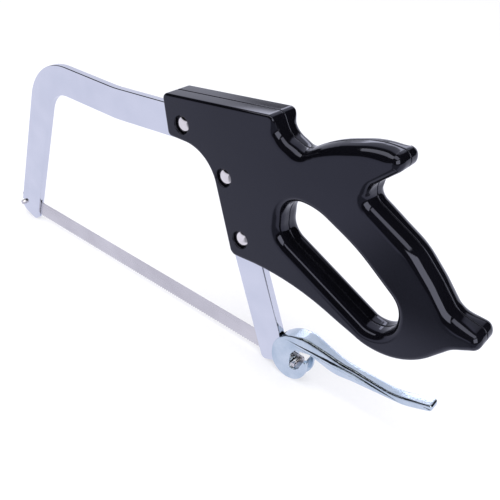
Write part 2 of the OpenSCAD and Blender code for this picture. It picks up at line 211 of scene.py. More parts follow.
# %% Walls and flat faces
def wall(rows, first=0, flip=False):
    """Quads (m, 4) that join a stack of equal closed rings: points a, b of one ring and b + n, a + n of the
    next, where n is the number of points in a ring. Points are numbered from first.
    """
    n = len(rows[0])
    level = first + np.arange(len(rows) - 1)[:, None] * n
    a, b = level + np.arange(n), level + (np.arange(n) + 1) % n
    quads = np.stack([a, b, b + n, a + n], -1).reshape(-1, 4)
    return quads[:, ::-1] if flip else quads


def flat_face(loops, numbers, flip=False):
    """Triangles over a flat face. loops are rings, the first the outside and the rest holes in it, and
    numbers are their point numbers. Triangles with no area go, and the others are turned to face one way.
    """
    index = np.concatenate(numbers)
    tris = np.array(tessellate_polygon([[Vector((q[0], q[2], 0)) for q in loop] for loop in loops]))
    p = np.concatenate(loops)[tris][:, :, [0, 2]]
    d1, d2 = p[:, 1] - p[:, 0], p[:, 2] - p[:, 0]
    area = d1[:, 0] * d2[:, 1] - d1[:, 1] * d2[:, 0]
    real = np.abs(area) > 1e-9
    tris, area = tris[real], area[real]
    tris[area < 0] = tris[area < 0][:, ::-1]
    return index[tris[:, ::-1] if flip else tris]


side_face = flat_face([ring(square, 0, 0)], [np.arange(len(square[0]))])
print("the square's side:", len(side_face), "triangles")

# %% [markdown]
# ### One piece, one object
# A piece gathers its rings and faces and becomes one object at the origin, with its place in its mesh. The
# object rides on a body of the part, so it moves with the joints, and stands in for the CAD node it shows.
# Joining ready-made parts would also work, but then their inner faces would stay inside.


# %% A piece
class Piece:
    """Collects rings and faces of one piece, then makes its Blender object."""

    def __init__(self):
        self.points, self.faces, self.count = [], [], 0

    def rows(self, rows, flip=False):
        """Adds a stack of rings with its wall. Returns the point numbers of each ring."""
        first, n = self.count, len(rows[0])
        self.points += rows
        self.faces.append(wall(rows, first, flip))
        self.count += n * len(rows)
        return [first + k * n + np.arange(n) for k in range(len(rows))]

    def face(self, loops, numbers, flip=False):
        """Closes a ring, or the area between a ring and the holes in it."""
        self.faces.append(flat_face(loops, numbers, flip))

    def make(self, name, body, node, material, crisp=35):
        """One mesh object from all rings. Edges that turn by more than `crisp` degrees stay sharp."""
        mesh = bpy.data.meshes.new(name)
        faces = [face for part in self.faces for face in part.tolist()]
        mesh.from_pydata(metres(np.concatenate(self.points)).tolist(), [], faces)
        mesh.validate()
        mesh.polygons.foreach_set("use_smooth", np.ones(len(mesh.polygons), bool))
        mesh.set_sharp_from_angle(angle=math.radians(crisp))
        mesh.materials.append(material)
        obj = bpy.data.objects.new(name, mesh)
        bpy.context.scene.collection.objects.link(obj)
        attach(obj, body)
        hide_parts(node)
        print(name, len(mesh.vertices), "points", len(mesh.polygons), "faces")


print("a new piece starts with", Piece().count, "points")

# %% [markdown]
# ## Materials
# A node tree could be drawn by hand in the shader editor. In a script, one function is enough: `add` puts a
# node into the tree with its settings and links, so that a finish reads as a short list. `linear` turns a
# colour as a painter writes it into linear light. Each pattern's scale is a real size in millimetres divided
# into a metre, and the patterns sit on object coordinates, so they stay with a piece when it moves.


# %% Material helpers
def linear(code):
    """An sRGB hex colour in linear light: v / 12.92 up to 0.04045, ((v + 0.055) / 1.055) ^ 2.4 above it."""
    v = np.array([int(code[i:i + 2], 16) for i in (1, 3, 5)]) / 255
    v = np.where(v <= 0.04045, v / 12.92, ((v + 0.055) / 1.055) ** 2.4)
    return (*v.tolist(), 1.0)


def connect(tree, node, **inputs):
    """Sets a node's inputs. A pair (node, output) is linked, and anything else is the socket's own value. An
    input named _6 is the socket with that number, for nodes that have several of one name.
    """
    for key, value in inputs.items():
        socket = node.inputs[int(key[1:]) if key[1:].isdigit() else key.replace("_", " ")]
        if isinstance(value, tuple) and isinstance(value[0], bpy.types.Node):
            tree.links.new(value[0].outputs[value[1]], socket)
        else:
            socket.default_value = value


def add(tree, kind, settings=None, **inputs):
    """A new node with its settings and inputs."""
    node = tree.nodes.new(kind)
    for key, value in (settings or {}).items():
        setattr(node, key, value)
    connect(tree, node, **inputs)
    return node


def new_material(name):
    """An empty material: itself, its tree, its shader, and a node that gives object coordinates."""
    material = bpy.data.materials.new(name)
    material.use_nodes = True
    tree = material.node_tree
    return material, tree, tree.nodes["Principled BSDF"], add(tree, "ShaderNodeTexCoord")


# Noise stays mostly between 0.3 and 0.7, so that part of it is spread over a pattern's whole range.
SPREAD = {"From_Min": 0.3, "From_Max": 0.7}
COLOUR = {"data_type": "RGBA"}
print("noise is spread from", SPREAD, "and mid grey #808080 is", round(linear("#808080")[0], 3))

# %% [markdown]
# ### Chrome plate on the bar
# The bar is a flat steel strip, polished and plated with chromium, so it's a mirror that is only a little
# soft. Its look comes from what stands round it, so the base colour is near white with a cold tint, and the
# IOR stays at its default, as for every metal. The eye gets slow changes of gloss, one every 25 mm, from a
# noise that moves the roughness between 0.07 and 0.12, and a fine grain that loosens the highlights.

# %% Chrome plate
CHROME, tree, shader, coords = new_material("chrome_plated_steel")
wave = add(tree, "ShaderNodeTexNoise", Vector=(coords, "Object"), Scale=METRE / 25, Detail=2)
grain = add(tree, "ShaderNodeTexNoise", Vector=(coords, "Object"), Scale=METRE / 0.6667, Detail=2)
part = add(tree, "ShaderNodeMapRange", Value=(wave, "Fac"), **SPREAD)
tint = add(tree, "ShaderNodeMix", COLOUR, _0=(part, "Result"), _6=linear("#dcdfe8"), _7=linear("#e4e6ee"))
rough = add(tree, "ShaderNodeMapRange", Value=(wave, "Fac"), **SPREAD, To_Min=0.07, To_Max=0.12)
bump = add(tree, "ShaderNodeBump", Height=(grain, "Fac"), Strength=0.03, Distance=0.1 / METRE)
connect(tree, shader, Base_Color=(tint, 2), Roughness=(rough, "Result"), Normal=(bump, "Normal"), Metallic=1)
print(CHROME.name, len(tree.nodes), "nodes")

# %% [markdown]
# ### Nickel plate on the rivets
# The rivets are turned steel, nickel plated in a barrel. Nickel looks warmer than chrome, which tells their
# heads from the bar. Domes reflect half the room in a few millimetres, so their roughness is low, or the
# dark and bright parts of the room would melt into grey. A wave of 8 mm keeps six equal domes from showing
# six equal reflections.

# %% Rivet plate
NICKEL, tree, shader, coords = new_material("nickel_plated_steel")
wave = add(tree, "ShaderNodeTexNoise", Vector=(coords, "Object"), Scale=METRE / 8.3333, Detail=2)
grain = add(tree, "ShaderNodeTexNoise", Vector=(coords, "Object"), Scale=METRE / 0.4, Detail=2)
part = add(tree, "ShaderNodeMapRange", Value=(wave, "Fac"), **SPREAD)
tint = add(tree, "ShaderNodeMix", COLOUR, _0=(part, "Result"), _6=linear("#e9e2de"), _7=linear("#f6f1ee"))
rough = add(tree, "ShaderNodeMapRange", Value=(grain, "Fac"), **SPREAD, To_Min=0.04, To_Max=0.09)
bump = add(tree, "ShaderNodeBump", Height=(wave, "Fac"), Strength=0.1, Distance=0.3 / METRE)
connect(tree, shader, Base_Color=(tint, 2), Roughness=(rough, "Result"), Normal=(bump, "Normal"), Metallic=1)
print(NICKEL.name, len(tree.nodes), "nodes")

# %% [markdown]
# ### Moulded black plastic
# The grip is a hard plastic such as ABS, black all through and moulded in a polished form. What shows on it
# is almost only reflection: about 5 % of the light head on, and more along the edges, which an IOR of 1.5
# gives. Its shine leans a little to blue. A slight wave of 55 mm, as plastic sinks while it cools, and a
# grain of 1 mm, coarser than the real one so that it shows, keep long highlights from looking ruled.

# %% Gloss plastic
PLASTIC, tree, shader, coords = new_material("gloss_black_plastic")
flow = add(tree, "ShaderNodeTexNoise", Vector=(coords, "Object"), Scale=METRE / 55.5556, Detail=2)
pit = add(tree, "ShaderNodeTexNoise", Vector=(coords, "Object"), Scale=METRE / 1.1111, Detail=3)
part = add(tree, "ShaderNodeMapRange", Value=(flow, "Fac"), **SPREAD)
tint = add(tree, "ShaderNodeMix", COLOUR, _0=(part, "Result"), _6=linear("#060609"), _7=linear("#0b0b10"))
rough = add(tree, "ShaderNodeMapRange", Value=(pit, "Fac"), **SPREAD, To_Min=0.06, To_Max=0.1)
bump = add(tree, "ShaderNodeBump", Height=(flow, "Fac"), Strength=0.04, Distance=1 / METRE)
connect(tree, shader, Base_Color=(tint, 2), Roughness=(rough, "Result"), Normal=(bump, "Normal"), IOR=1.5)
connect(tree, shader, Specular_Tint=linear("#e4e6ff"))
print(PLASTIC.name, len(tree.nodes), "nodes")

# %% [markdown]
# ### Rolled blade steel
# The blade is hardened strip steel, rolled along its length and left bare. Rolling leaves fine streaks, here
# drawn 2 mm high so that they show at all, and the Mapping node shrinks x to 0.03, which makes them about
# thirty times as long. The eye gets a satin strip, rougher than the plate and a shade warmer. An anisotropic
# shader could smear the highlight too, but on a strip this narrow nothing of it would be seen.

# %% Blade steel
BLADE_STEEL, tree, shader, coords = new_material("satin_blade_steel")
drawn = add(tree, "ShaderNodeMapping", Vector=(coords, "Object"), Scale=(0.03, 1, 1))
streak = add(tree, "ShaderNodeTexNoise", Vector=(drawn, "Vector"), Scale=METRE / 2, Detail=3)
cloud = add(tree, "ShaderNodeTexNoise", Vector=(coords, "Object"), Scale=METRE / 40, Detail=3)
part = add(tree, "ShaderNodeMapRange", Value=(cloud, "Fac"), **SPREAD)
tint = add(tree, "ShaderNodeMix", COLOUR, _0=(part, "Result"), _6=linear("#cfcbcc"), _7=linear("#e0dcdc"))
rough = add(tree, "ShaderNodeMapRange", Value=(streak, "Fac"), **SPREAD, To_Min=0.18, To_Max=0.3)
bump = add(tree, "ShaderNodeBump", Height=(streak, "Fac"), Strength=0.1, Distance=0.1 / METRE)
connect(tree, shader, Base_Color=(tint, 2), Roughness=(rough, "Result"), Normal=(bump, "Normal"), Metallic=1)
print(BLADE_STEEL.name, len(tree.nodes), "nodes")

# %% [markdown]
# ### Zinc plate on the lever
# The lever is a steel stamping with bright zinc on it, which looks bluish beside chrome. Its skin is a bit
# rough. A bump with a grain of 1 mm, coarser than the real one so that it shows, breaks its highlights into
# small sparks, and a cloud of 17 mm, as a plating bath leaves it, varies the tint.

# %% Zinc plate
ZINC, tree, shader, coords = new_material("zinc_plated_steel")
cloud = add(tree, "ShaderNodeTexNoise", Vector=(coords, "Object"), Scale=METRE / 16.6667, Detail=4)
grain = add(tree, "ShaderNodeTexNoise", Vector=(coords, "Object"), Scale=METRE / 1.1111, Detail=3)
part = add(tree, "ShaderNodeMapRange", Value=(cloud, "Fac"), **SPREAD)
tint = add(tree, "ShaderNodeMix", COLOUR, _0=(part, "Result"), _6=linear("#c3d2de"), _7=linear("#dee8ef"))
rough = add(tree, "ShaderNodeMapRange", Value=(grain, "Fac"), **SPREAD, To_Min=0.1, To_Max=0.22)
bump = add(tree, "ShaderNodeBump", Height=(grain, "Fac"), Strength=0.3, Distance=0.3 / METRE)
connect(tree, shader, Base_Color=(tint, 2), Roughness=(rough, "Result"), Normal=(bump, "Normal"), Metallic=1)
print(ZINC.name, len(tree.nodes), "nodes")

# %% [markdown]
# ## The frame bar
# On the real saw this is one strip of flat steel, bent round the nose and down inside the grip. A curve with
# a rectangle for its profile would make the bends, but an outline also gives the toe, the notch that takes
# the front pin, and the rounded ends. So the bar is drawn from its middle line. It has three straight runs:
# the front arm, the spine, which rises a little after a kink, and the rear arm.

# %% Directions of the bar
FRONT_LEAN, REAR_LEAN, SPINE_RISE = (math.radians(a) for a in (18.2, 22.0, 5.2))
BAR_W, BAR_T = 25.4, 6.4
HALF_W = BAR_W / 2
front_up = np.array([math.sin(FRONT_LEAN), math.cos(FRONT_LEAN)])
front_back = np.array([math.cos(FRONT_LEAN), -math.sin(FRONT_LEAN)])
rear_up = np.array([-math.sin(REAR_LEAN), math.cos(REAR_LEAN)])
rear_back = np.array([math.cos(REAR_LEAN), math.sin(REAR_LEAN)])
along = np.array([math.cos(SPINE_RISE), math.sin(SPINE_RISE)])
above = np.array([-along[1], along[0]])
print("bar", BAR_W, "x", BAR_T, "mm, spine rises by", round(along[1] / along[0], 3))


# %% Corners of the middle line
def at_height(p, direction, z):
    """The point at height z on the line through p: p + direction (z − p_z) / direction_z."""
    return p + direction * (z - p[1]) / direction[1]


def cross(a, b):
    """The cross product of two flat vectors: a_x b_z − a_z b_x."""
    return a[0] * b[1] - a[1] * b[0]


SPINE_Z, KINK_X = 163.4, 150.5
FRONT_PIN_INSET, CAM_REACH = 4.2, 7.9
front_foot = FRONT_PIN + front_back * (HALF_W - FRONT_PIN_INSET)
rear_foot = REAR_PIN - rear_back * (CAM_REACH + HALF_W)
NOSE = at_height(front_foot, front_up, SPINE_Z)
KINK = np.array([KINK_X, SPINE_Z])
CROWN = KINK + along * cross(rear_foot - KINK, rear_up) / cross(along, rear_up)
print("nose", NOSE.round(1), "kink", KINK, "crown", CROWN.round(1))

# %% [markdown]
# ### The ends of the bar
# The front arm ends on the floor and the rear one a little above it. Typed lengths would have to be worked
# out again after each change of lean. So they follow from the rounding: the lowest point of an end is on the
# arc of its lower corner, and the height of that arc's middle gives the length of the arm.

# %% Ends of the middle line
TOE_R, HEEL_R, END_R, END_GAP = 9.0, 5.0, 4.0, 0.6
heel_drop = NOSE[1] - HEEL_R - (HALF_W - HEEL_R) * math.sin(FRONT_LEAN)
end_drop = CROWN[1] - END_GAP - END_R - (HALF_W - END_R) * math.sin(REAR_LEAN)
front_reach = heel_drop / math.cos(FRONT_LEAN) + HEEL_R
rear_reach = end_drop / math.cos(REAR_LEAN) + END_R
FRONT_END, REAR_END = NOSE - front_up * front_reach, CROWN - rear_up * rear_reach
front_side, front_inside = FRONT_END - front_back * HALF_W, FRONT_END + front_back * HALF_W
rear_side, rear_inside = REAR_END + rear_back * HALF_W, REAR_END - rear_back * HALF_W
print("front arm", round(front_reach, 1), "mm, rear arm", round(rear_reach, 1), "mm")

# %% [markdown]
# ### The bends
# Where the strip bends, the corner of each edge lies on the bend's bisector, and the edge's radius is the
# middle line's radius plus or minus half the width. The edges themselves are rolled over by 0.8 mm, as
# flat bar has them.


# %% Bends
def mitre(before, corner, after):
    """From a corner of the middle line to the inner edge's corner: half width / cos(half the turn), along
    the bisector.
    """
    u, v = before - corner, after - corner
    u, v = u / np.linalg.norm(u), v / np.linalg.norm(v)
    return HALF_W * (u + v) / np.linalg.norm(u + v) / math.cos((math.pi - math.acos(u @ v)) / 2)


NOSE_BEND_R, KINK_BEND_R, CROWN_BEND_R, ROLL = 42.3, 100, 30, 0.8
nose_in, kink_in = mitre(FRONT_END, NOSE, KINK), mitre(NOSE, KINK, CROWN)
crown_in = mitre(KINK, CROWN, REAR_END)
outer = [(*(NOSE - nose_in), NOSE_BEND_R + HALF_W, ROLL), (*(KINK + kink_in), KINK_BEND_R - HALF_W, ROLL),
         (*(CROWN - crown_in), CROWN_BEND_R + HALF_W, ROLL)]
inner = [(*(CROWN + crown_in), CROWN_BEND_R - HALF_W, ROLL), (*(KINK - kink_in), KINK_BEND_R + HALF_W, ROLL),
         (*(NOSE + nose_in), NOSE_BEND_R - HALF_W, ROLL)]
print("edge radii at the nose:", NOSE_BEND_R + HALF_W, "and", round(NOSE_BEND_R - HALF_W, 1))

# %% [markdown]
# ### The toe and its notch
# The front pin rests in a round notch in the front edge of the toe, with a hair of room round it. The toe is
# cut short by the notch, so neither is a whole rounded corner. Their arcs are worked out here and enter the
# outline point by point, with radius 0.


# %% Toe and notch
def arc(middle, radius, start, end, count=14):
    """Points middle + radius (cos t, sin t), with t from start to end."""
    t = np.linspace(start, end, count)
    return middle + radius * np.stack([np.cos(t), np.sin(t)], 1)


PIN_ROOM, NOTCH_ROLL, NOTCH_TURN = 0.08, 0.2, 1.4
HOOK_R = PIN_R + PIN_ROOM
toe = front_side + front_up * TOE_R + front_back * TOE_R
toe_end = math.pi + math.asin((toe[1] - (PIN_Z - HOOK_R)) / TOE_R)
toe_arc = arc(toe, TOE_R, math.atan2(-front_up[1], -front_up[0]) % (2 * math.pi), toe_end)
notch_arc = arc(FRONT_PIN, HOOK_R, -NOTCH_TURN, NOTCH_TURN)
notch_x = at_height(front_side, front_up, PIN_Z + HOOK_R)[0]
print("toe from", toe_arc[0].round(1), "to", toe_arc[-1].round(1))

# %% [markdown]
# ### The blade slot
# The blade slips into a slot sawn in both ends of the bar. A boolean could cut it, but it would also cut the
# rolled edges into slivers. So the bar is built of three layers: two outer ones with rolled edges, and a
# core as thick as the slot, which stops above the blade.

# %% Bar outlines
BLADE_H, SLOT_HALF, SLOT_RISE = 16, 0.7, 3
BAR_STEP, BAR_SPACING = 3, 4
bar_full = rounded(
    [(*p, 0, ROLL) for p in toe_arc]
    + [(0, PIN_Z - HOOK_R, 0, NOTCH_ROLL)] + [(*p, 0, NOTCH_ROLL) for p in notch_arc]
    + [(0, PIN_Z + HOOK_R, 0, NOTCH_ROLL), (notch_x, PIN_Z + HOOK_R, 0, ROLL)] + outer
    + [(*rear_side, END_R, ROLL), (*rear_inside, END_R, ROLL)] + inner
    + [(*front_inside, HEEL_R, ROLL)], BAR_STEP, BAR_SPACING)
slot_top = PIN_Z + BLADE_H / 2 + SLOT_RISE
bar_core = rounded(
    [(*at_height(front_side, front_up, slot_top), 0, 0)] + outer
    + [(*at_height(p, rear_up, slot_top), 0, 0) for p in (rear_side, rear_inside)] + inner
    + [(*at_height(front_inside, front_up, slot_top), 0, 0)], BAR_STEP, BAR_SPACING)
print("bar outline", len(bar_full[0]), "points, core", len(bar_core[0]))

# %% Bar mesh
bar = Piece()
for side in (-1, 1):
    rows = edge_rows(bar_full, side * SLOT_HALF, side * BAR_T / 2, steps=4, support=0.3)
    numbers = bar.rows(rows, flip=side < 0)
    bar.face([rows[-1]], [numbers[-1]], flip=side > 0)
    bar.face([rows[0]], [numbers[0]], flip=side < 0)
bar.rows([ring(bar_core, 0, -SLOT_HALF), ring(bar_core, 0, SLOT_HALF)])
bar.make("frame_bar_chromed", "frame", "frame_bar", CHROME)

# %% [markdown]
# ## The hand grip
# Two moulded halves meet in the middle and hold the bar between them. The grip could be sculpted, but its
# form is that of a flat plate with an edge that rolls over, so an outline says it all. Each corner below is
# (x, z, radius, roll), from the crown, where the spine meets the rear arm. The roll is how far the edge
# rounds over towards the side: 2.2 mm on the plate round the bar, and up to 8 mm in the hand.

# %% Grip outline
PLATE_ROLL = 2.2
handle_corners = np.array([
    (-43.3, 19.7, 4, PLATE_ROLL), (53.7, 32.5, 5, PLATE_ROLL), (61.2, 18.9, 14, 6.5), (76.2, 13.9, 9, 7.5),
    (92.5, 25.8, 90, 8), (125, 36.8, 60, 8), (147.2, 35.4, 6.2, 5.6), (143.2, 26, 5, 4.2),
    (126.2, 10.4, 8, 4), (127.7, -0.1, 9, 7), (163.2, -18.6, 60, 8), (180.2, -35.1, 60, 8),
    (193.2, -50.1, 14, 8), (213.6, -54.4, 6.5, 5.5), (213.4, -63.2, 5.2, 4.6), (199, -70.3, 20, 4),
    (172.8, -101, 48, 4), (142.5, -101, 40, 4), (84, -80.5, 180, 3), (26.7, -83.1, 6, PLATE_ROLL),
    (1.8, -10.1, 31, PLATE_ROLL), (-37.3, -10.6, 4, PLATE_ROLL)])
handle_corners[:, :2] += CROWN
grip = blended_rolls(rounded(handle_corners, 3, 1.5), 3)
print("grip outline", len(grip[0]), "points, rolls", grip[2].min().round(2), "to", grip[2].max().round(2))

# %% [markdown]
# ### The finger opening and the rivets' places
# The opening is a second outline of the same kind, and its edge rolls outwards. One rivet goes through the
# spine, just before the crown, and two go through the rear arm, so their places are given along the bar.

# %% Opening and rivet places
opening_corners = np.array([
    (66.3, -19.8, 17, 6), (93, -19.4, 40, 6), (125, -34.2, 120, 6), (160.3, -60, 18, 6),
    (160.3, -88.3, 16.5, 6), (140.5, -88.3, 10, 6), (66.3, -52, 14, 6)])
opening_corners[:, :2] += CROWN
opening = rounded(opening_corners, 3, 3)
rivets = {
    "top": CROWN - along * 23.5 + above * 3.9,
    "middle": CROWN - rear_up * 29 + rear_back * 6.6,
    "bottom": CROWN - rear_up * 75.5 + rear_back * 7}
print("opening", len(opening[0]), "points, rivets at", {k: v.round(1).tolist() for k, v in rivets.items()})

# %% [markdown]
# ### The rolled edge
# Each half is a stack of rings from the joint out to the side. Where the halves meet, a small round edge
# makes the fine line that is seen along the back. The rolled edge is deeper than it is wide, which spreads
# the highlight. A Bevel modifier's edge is as deep as it is wide, so the ellipse is worked out here.


# %% Seam and edge
def seam(outline, side, sense=1, r=0.9):
    """Rings of the small rounded edge at the joint: inset = r (1 − sin a), y = r (1 − cos a)."""
    angles = np.linspace(0.2, np.pi / 2, 5)
    return [ring(outline, sense * r * (1 - math.sin(a)), side * r * (1 - math.cos(a))) for a in angles]


def deep(outline):
    """Depth over width of the rolled edge: 1 + 0.5 (roll − 2.2) / 4, so 1 on the plate's edges and 1.5 where
    the roll is 4 mm more.
    """
    return 1 + 0.5 * np.clip((outline[2] - PLATE_ROLL) / 4, 0, 1)


HALF_T, SEAM_END = 13.0, 1.0


def grip_rows(outline, side, sense):
    """All rings of one rolled surface of a half, from its joint to its flat side."""
    edge = edge_rows(outline, side * SEAM_END, side * HALF_T, sense, 14, depth=deep(outline))
    return seam(outline, side, sense) + edge


print("a half has", len(grip_rows(grip, 1, 1)), "rings round its outside")

# %% [markdown]
# ### The rivet recesses
# Each rivet head sits in a round recess, as moulded ones have it: a flat floor, a straight wall and a soft
# lip. The recess is one more stack of rings, and its outermost ring is a hole in the side face.

# %% Recesses
RECESS_R, RECESS_DEPTH, LIP_R, MIDDLE_R = 6.8, 2.6, 0.5, 0.5


def recess_rows(place, side):
    """Rings from the middle of a recess's floor out to its lip on the flat side."""
    points, normals, _ = circle(place, RECESS_R)
    lip = (points, normals, np.full(len(points), LIP_R))
    floor = ring(lip, RECESS_R - MIDDLE_R, side * (HALF_T - RECESS_DEPTH))
    return [floor] + edge_rows(lip, side * (HALF_T - RECESS_DEPTH), side * HALF_T, -1, 5, 0.3)


print("a recess has", len(recess_rows(CROWN, 1)), "rings")

# %% Grip halves
for side, name, node in ((-1, "grip_half_left", "handle_left"), (1, "grip_half_right", "handle_right")):
    half = Piece()
    rows, hole_rows = grip_rows(grip, side, 1), grip_rows(opening, side, -1)
    numbers = half.rows(rows, flip=side < 0)
    hole_numbers = half.rows(hole_rows, flip=side > 0)
    loops, indices = [rows[-1], hole_rows[-1]], [numbers[-1], hole_numbers[-1]]
    for place in rivets.values():
        recess = recess_rows(place, side)
        recess_numbers = half.rows(recess, flip=side > 0)
        half.face([recess[0]], [recess_numbers[0]], flip=side > 0)
        loops.append(recess[-1])
        indices.append(recess_numbers[-1])
    half.face(loops, indices, flip=side > 0)
    half.face([rows[0], hole_rows[0]], [numbers[0], hole_numbers[0]], flip=side < 0)
    half.make(name, "frame", node, PLASTIC)

# %% [markdown]
# ## Turned pieces
# Rivets and cross pins are made on a lathe, which spins a profile round an axis. Blender's Screw modifier
# does that too. Here each point of the profile becomes a circle, and the functions above join the circles.


# %% Turning a profile
TURNED_POINTS = 64


def turned(place, profile, name, body, node, material):
    """A surface of revolution about the line through place along y: each (y, radius) of the profile becomes
    the circle place + radius (cos t, sin t) at y.
    """
    piece = Piece()
    rows = [ring(circle(place, r, TURNED_POINTS), 0, y) for y, r in profile]
    up = profile[-1][0] > profile[0][0]
    numbers = piece.rows(rows, flip=not up)
    piece.face([rows[-1]], [numbers[-1]], flip=up)
    piece.face([rows[0]], [numbers[0]], flip=not up)
    piece.make(name, body, node, material)


print("turned pieces have", TURNED_POINTS, "points round")

# %% [markdown]
# ### Rivets
# A tube comes from the left and a pin from the right, each with a domed head, and the pin is pressed into
# the tube. Only the heads are seen. A head is a short rim and then a cap of a ball: with head radius R and
# cap height h, the ball's radius is (R² + h²) / 2h. The last ring stops just short of the pole.

# %% Rivet heads
SEAT = HALF_T - RECESS_DEPTH
HEAD_R, HEAD_H, RIM_H = 5.8, 2.3, 0.6
CAP_H = HEAD_H - RIM_H
BALL_R = (HEAD_R ** 2 + CAP_H ** 2) / (2 * CAP_H)
SUNK, RIM_ROUND, POLE = 0.1, 0.15, 0.02
for where, place in rivets.items():
    for side, kind in ((-1, "tube"), (1, "pin")):
        angles = np.linspace(math.asin(HEAD_R / BALL_R), POLE, 10)
        low = SEAT + HEAD_H - BALL_R
        dome = [(side * (low + BALL_R * math.cos(a)), BALL_R * math.sin(a)) for a in angles]
        profile = [(side * (SEAT - SUNK), HEAD_R), (side * (SEAT + RIM_H - RIM_ROUND), HEAD_R), *dome]
        turned(place, profile, f"rivet_{kind}_head_{where}", "frame", f"rivet_{kind}_{where}", NICKEL)

# %% [markdown]
# ### Cross pins
# Two short pins go through the blade's ends. The front one hooks into the notch in the toe, the rear one
# into the lever. Their ends are chamfered in two small steps, which looks round at this size.

# %% Blade pins
for x, half_length, where in ((0.0, 6.3, "front"), (PIN_SPAN, 6.0, "rear")):
    chamfer = [(half_length - 0.4, PIN_R), (half_length - 0.15, PIN_R - 0.1), (half_length, PIN_R - 0.4)]
    profile = [(-y, r) for y, r in reversed(chamfer)] + chamfer
    turned((x, PIN_Z), profile, f"blade_cross_pin_{where}", "blade_set", f"blade_pin_{where}", BLADE_STEEL)

# %% [markdown]
# ## The blade
# A thin strip with its teeth cut along the lower edge. An array modifier could repeat one tooth, but the
# blade's flat sides would then be cut up too. In an outline a tooth is two points, one in the gullet and one
# at the tip, so a whole row of them is one small array that repeats every pitch.

# %% Teeth
BLADE_T, PITCH, DEPTH, BLADE_END, PLAIN = 0.7, 2.5, 1.4, 6.5, 10
TIP_LEAN = 0.25
top_z, tip_z = PIN_Z + BLADE_H / 2, PIN_Z - BLADE_H / 2
length = PIN_SPAN + 2 * BLADE_END
teeth = int((length - PLAIN) // PITCH)
first_x = -BLADE_END + (length - teeth * PITCH) / 2
tooth_x = first_x + np.arange(teeth)[::-1, None] * PITCH + np.array([[PITCH, TIP_LEAN * PITCH]])
tooth_z = np.broadcast_to([tip_z + DEPTH, tip_z], tooth_x.shape)
print(teeth, "teeth on a blade of", round(length, 1), "mm")

# %% Blade mesh
END_ROUND, END_EDGE = 2, tip_z + DEPTH + 1
blade_outline = rounded(
    [(-BLADE_END, END_EDGE, 0, 0.1), (-BLADE_END, top_z, END_ROUND, 0.1),
     (length - BLADE_END, top_z, END_ROUND, 0.1), (length - BLADE_END, END_EDGE, 0, 0.1)]
    + [(x, z, 0, 0) for x, z in zip(tooth_x.ravel(), tooth_z.ravel())]
    + [(first_x, tip_z + DEPTH, 0, 0)], 10, 20)
blade = Piece()
rows = [ring(blade_outline, 0, -BLADE_T / 2), ring(blade_outline, 0, BLADE_T / 2)]
numbers = blade.rows(rows)
blade.face([rows[1]], [numbers[1]], flip=True)
blade.face([rows[0]], [numbers[0]])
blade.make("blade_toothed", "blade_set", "blade", BLADE_STEEL)

# %% [markdown]
# ## The lever
# The lever is a stamping with a round forked head, a hook that holds the blade's rear pin, and a long arm
# for the thumb. Box modelling with a subdivision surface would blur the crisp hook, so its side view is one
# outline, and its corners count from the rear pin.

# %% Lever outline
pin = PIN_SPAN
HEAD_ROUND, HEAD_FRONT = 15.8, 12.2
head_back = pin + HEAD_FRONT - 2 * HEAD_ROUND
LEVER_ROLL = 1.1
side_corners = [
    (head_back, 0, HEAD_ROUND, 0.9), (head_back, 27.5, 18, 0.9), (pin - 6, 40, 24, 1.2),
    (pin + 9, 44.4, 16, 2), (pin + 39.5, 38.4, 60, 2.3), (pin + 81.5, 38.1, 50, 1.6),
    (pin + 109, 47.5, 1.8, 1), (pin + 109, 42.6, 1.8, 1), (pin + 90.5, 34.7, 40, 1),
    (pin + 34.5, 26, 35, 1), (pin + 13.5, PIN_Z + 19, 6, 1), (pin + 2, PIN_Z + 16.5, 5, 1),
    (pin - HOOK_R, PIN_Z + 10, 8, 0.8), (pin - HOOK_R, PIN_Z - HOOK_R, HOOK_R, 0.5),
    (pin + 5, PIN_Z - 0.6 * HOOK_R, 5, 0.8), (pin + 9.6, PIN_Z + 9.6, 0.8, 0.5),
    (pin + HEAD_FRONT, PIN_Z + 9.2, 1, 0.7), (pin + HEAD_FRONT, 0, HEAD_ROUND, 1)]
lever_outline = rounded([(x, z, r, roll * LEVER_ROLL) for x, z, r, roll in side_corners], 2, 1.5)
print("lever outline", len(lever_outline[0]), "points")

# %% [markdown]
# ### The lever from above
# Seen from above the width changes too: a wide head, a narrow waist and a wider thumb tip. So every point of
# the outline gets its own half width. Up to the neck the inner side of each cheek stays half the fork's
# width from the middle, which leaves room for the bar, and behind it the two sides run together.


# %% Widths
WIDTH_AT = [pin + 8, pin + 24, pin + 48, pin + 100]
HALF_WIDTHS = [7.0, 5.2, 3.7, 4.8]
TIP_START, TIP_R = pin + 107, 3


def half_width(x):
    """Half the lever's width at x: straight lines between four widths, less a quarter circle at the thumb
    tip: w − (R − √(R² − t²)), where t is how far x lies past the start of the tip.
    """
    w = np.interp(x, WIDTH_AT, HALF_WIDTHS)
    t = np.clip(x - TIP_START, 0, TIP_R)
    return w - (TIP_R - np.sqrt(np.maximum(TIP_R ** 2 - t ** 2, 0)))


FORK_HALF = 3.5
NECK, ARM_START = pin + 12.5, pin + 20
across = lever_outline[0][:, 0]
inner_side = np.interp(across, [NECK, ARM_START], [FORK_HALF, 0])
print("half widths from", half_width(across).min().round(2), "to", half_width(across).max().round(2))

# %% [markdown]
# The inner face of a cheek is flat up to the neck and slopes behind it. Triangles that cross the neck would
# cut the corner into the fork, so the inner face is made in two parts that meet on the line of the neck.

